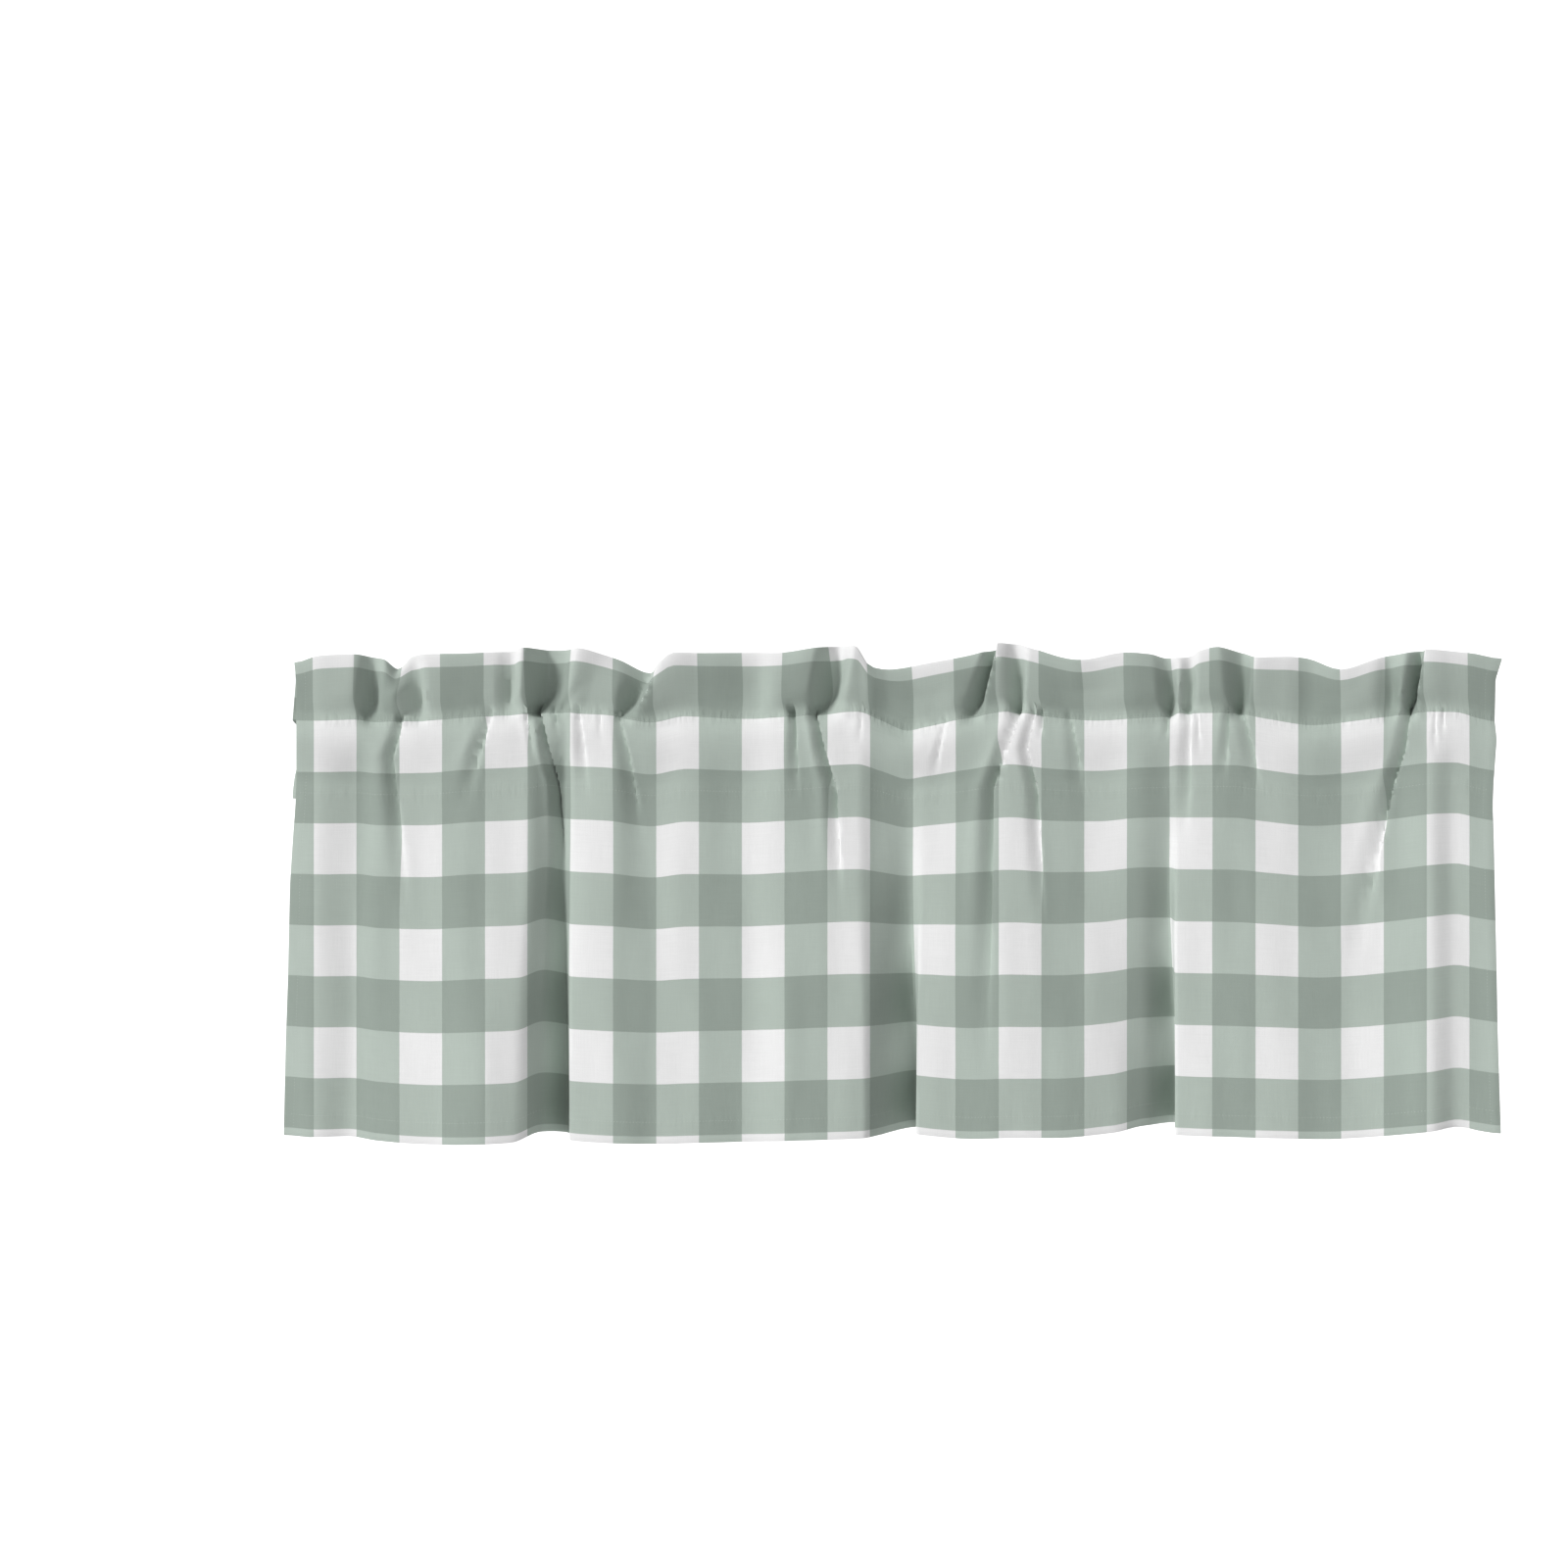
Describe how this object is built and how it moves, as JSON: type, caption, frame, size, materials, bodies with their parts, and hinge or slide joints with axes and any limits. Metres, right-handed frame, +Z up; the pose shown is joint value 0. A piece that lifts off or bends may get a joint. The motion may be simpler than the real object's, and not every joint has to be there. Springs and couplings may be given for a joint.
{
  "type": "window valance",
  "caption": "Short gathered window valance in sage and white gingham, with a standing ruffle over an open rod pocket.",
  "frame": {"origin": "on the curtain rod's axis inside the rod pocket, at mid-width", "axes": "+X along the rod to the viewer's right, front of the cloth faces -Y, +Z up"},
  "size_m": [1.1534, 0.0737, 0.4695],
  "materials": {
    "sage_gingham": "matte woven cotton"
  },
  "bodies": {
    "root": {"valance_panel": "sage_gingham", "pocket_strip": "sage_gingham"}
  },
  "joints": []
}
